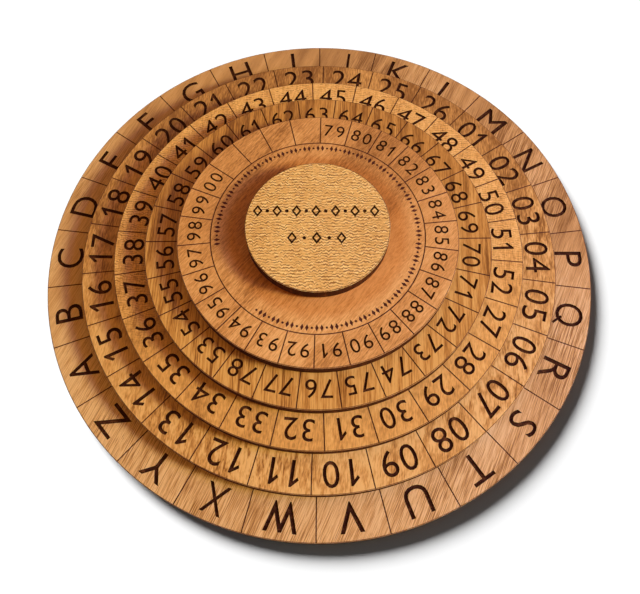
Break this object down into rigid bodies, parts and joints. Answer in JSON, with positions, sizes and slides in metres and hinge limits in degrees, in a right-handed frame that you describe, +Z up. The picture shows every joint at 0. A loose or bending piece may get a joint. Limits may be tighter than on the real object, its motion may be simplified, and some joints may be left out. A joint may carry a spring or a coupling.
{
  "type": "wooden cipher disk",
  "caption": "Flat cipher disk: a round lettered wooden base carrying smaller concentric numbered wheels that turn about its centre, held by a round clamp knob on top.",
  "frame": {"origin": "centre of the letter wheel's underside, which rests on the table", "axes": "+Z up along the wheels' axis; +Y towards the line between the letters I and J; +X to the right of it, towards P"},
  "size_m": [0.19, 0.19, 0.0293],
  "materials": {
    "pink_cherry": "satin oil, straight diagonal grain, laser-cut edges",
    "amber_cherry": "satin oil, soft figure, laser-cut edges",
    "curly_maple": "satin oil, rippled figure, laser-cut edges",
    "golden_cherry": "satin oil, fine grain lines, laser-cut edges",
    "red_cherry": "satin oil, smooth fine grain, laser-cut edges",
    "quilted_maple": "satin oil, fine wavy figure, laser-cut edges",
    "plated_steel": "zinc plated",
    "turned_brass": "turned",
    "brown_leather": "smooth, matt",
    "washer_plastic": "natural nylon sheet"
  },
  "bodies": {
    "base": {"letter_wheel": "pink_cherry", "pivot_screw": "plated_steel", "cup_washer": "turned_brass", "pivot_sleeve": "turned_brass", "sleeve_nut": "plated_steel", "slip_washer_1": "washer_plastic", "slip_washer_2": "washer_plastic", "slip_washer_3": "washer_plastic", "slip_washer_4": "washer_plastic"},
    "wheel_outer": {"number_wheel_outer": "amber_cherry"},
    "wheel_second": {"number_wheel_second": "curly_maple"},
    "wheel_third": {"number_wheel_third": "golden_cherry"},
    "wheel_inner": {"number_wheel_inner": "red_cherry"},
    "thrust_washer": {"thrust_washer": "brown_leather"},
    "knob": {"knob_body": "quilted_maple", "knob_face": "quilted_maple", "knob_nut": "plated_steel"}
  },
  "joints": [
    {"name": "wheel_outer_turn", "type": "hinge", "parent": "base", "child": "wheel_outer", "pos_m": [0, 0, 0.0047], "axis": [0, 0, 1], "continuous": true},
    {"name": "wheel_second_turn", "type": "hinge", "parent": "base", "child": "wheel_second", "pos_m": [0, 0, 0.0047], "axis": [0, 0, 1], "continuous": true},
    {"name": "wheel_third_turn", "type": "hinge", "parent": "base", "child": "wheel_third", "pos_m": [0, 0, 0.0047], "axis": [0, 0, 1], "continuous": true},
    {"name": "wheel_inner_turn", "type": "hinge", "parent": "base", "child": "wheel_inner", "pos_m": [0, 0, 0.0047], "axis": [0, 0, 1], "continuous": true},
    {"name": "knob_lift", "type": "slide", "parent": "base", "child": "thrust_washer", "axis": [0, 0, 1], "range_m": [0, 0.0016]},
    {"name": "knob_turn", "type": "hinge", "parent": "thrust_washer", "child": "knob", "pos_m": [0, 0, 0.0248], "axis": [0, 0, 1], "range_deg": [0, 720]}
  ],
  "couplings": [
    {"joint": "knob_lift", "follows": "knob_turn", "m_per_rad": 0.00012732}
  ]
}
